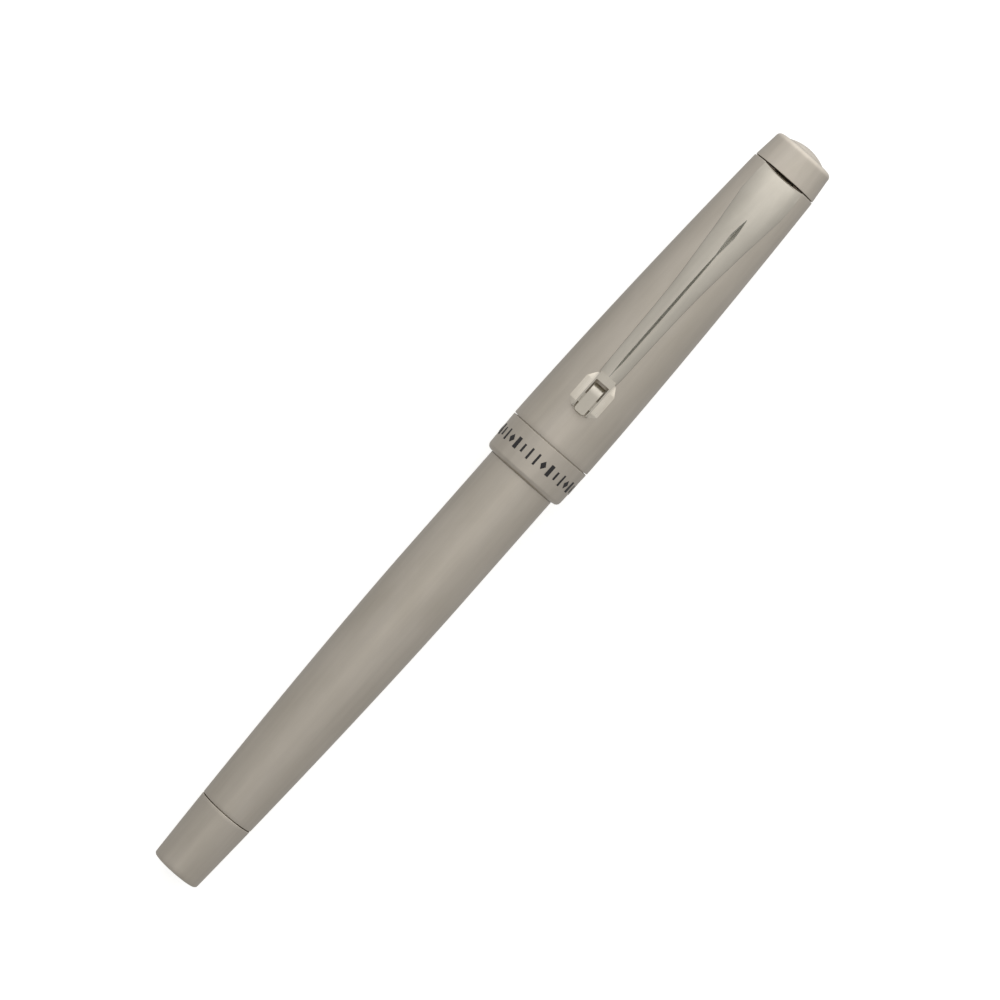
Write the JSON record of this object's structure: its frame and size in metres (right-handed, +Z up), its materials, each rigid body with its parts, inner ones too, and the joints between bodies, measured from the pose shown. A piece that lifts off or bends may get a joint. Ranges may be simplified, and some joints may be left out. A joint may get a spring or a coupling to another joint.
{
  "type": "rollerball pen",
  "caption": "Capped rollerball pen with a tapered metal barrel, screw-in writing section, sprung refill, banded push-on cap and a creased spring-loaded clip.",
  "frame": {"origin": "centre of the bounding box's base, on the surface the pen lies on", "axes": "+X towards the crown along the pen, +Z up through the clip; the pen's own axis rises 1.88 degrees towards the crown because it rests on the swell of the barrel and the band of the cap"},
  "size_m": [0.14, 0.0138, 0.0163],
  "materials": {
    "satin_metal": "satin-brushed plated brass, warm grey",
    "crown_inlay": "satin-brushed plated brass, warm grey",
    "clip_metal": "satin with brighter worn edges",
    "polished_metal": "polished plating",
    "brass": "turned brass",
    "grip_resin": "black resin, semi-gloss",
    "liner_plastic": "moulded, matte black",
    "spring_steel": "drawn spring wire and strip",
    "screw_steel": "zinc-plated screw",
    "refill_steel": "bright drawn tube",
    "refill_plastic": "moulded, dark",
    "ink_fibre": "ink-soaked fibre",
    "tip_steel": "turned stainless steel",
    "ball_carbide": "polished carbide"
  },
  "bodies": {
    "section": {"section_nipple": "brass", "grip_section": "grip_resin", "nose_cone": "polished_metal"},
    "trim_ring": {"trim_ring": "polished_metal"},
    "barrel": {"barrel_tube": "satin_metal", "barrel_bush": "brass", "tail_cap": "satin_metal", "refill_spring": "spring_steel"},
    "refill": {"refill_tube": "refill_steel", "refill_plug": "refill_plastic", "ink_reservoir": "ink_fibre", "ink_wick": "ink_fibre", "feed_holder": "refill_plastic", "writing_tip": "tip_steel"},
    "ball": {"writing_ball": "ball_carbide"},
    "snap_ring": {"cap_snap_ring": "spring_steel"},
    "cap": {"cap_tube": "satin_metal", "cap_band": "satin_metal", "inner_cap": "liner_plastic", "clip_bush": "liner_plastic", "clip_spring": "spring_steel", "crown_screw": "screw_steel", "crown": "satin_metal", "crown_dome": "crown_inlay"},
    "clip": {"clip": "clip_metal", "clip_bar": "clip_metal"}
  },
  "joints": [
    {"name": "barrel_turn", "type": "hinge", "parent": "section", "child": "trim_ring", "pos_m": [0.009, 0, 0.00682], "axis": [-0.9995, 0, -0.0329], "range_deg": [0, 3600]},
    {"name": "barrel_travel", "type": "slide", "parent": "trim_ring", "child": "barrel", "axis": [-0.9995, 0, -0.0329], "range_m": [0, 0.00801]},
    {"name": "refill_slide", "type": "slide", "parent": "section", "child": "refill", "axis": [-0.9995, 0, -0.0329], "range_m": [0, 0.0015], "stiffness_N_per_m": 300, "springref_m": -0.002, "deforming": ["refill_spring"]},
    {"name": "ball_roll", "type": "hinge", "parent": "refill", "child": "ball", "pos_m": [0.05318, 0, 0.00828], "axis": [0, 1, 0], "continuous": true},
    {"name": "cap_pull", "type": "slide", "parent": "section", "child": "snap_ring", "axis": [0.9995, 0, 0.0329], "range_m": [0, 0.055]},
    {"name": "cap_turn", "type": "hinge", "parent": "snap_ring", "child": "cap", "pos_m": [0.009, 0, 0.00682], "axis": [0.9995, 0, 0.0329], "continuous": true},
    {"name": "clip_flex", "type": "hinge", "parent": "cap", "child": "clip", "pos_m": [0.06382, 0, 0.01173], "axis": [0, 1, 0], "range_deg": [0, 4], "stiffness_Nm_per_rad": 5, "springref_deg": -1.15, "deforming": ["clip_spring"]}
  ],
  "couplings": [
    {"joint": "barrel_travel", "follows": "barrel_turn", "m_per_rad": 0.00012732}
  ]
}
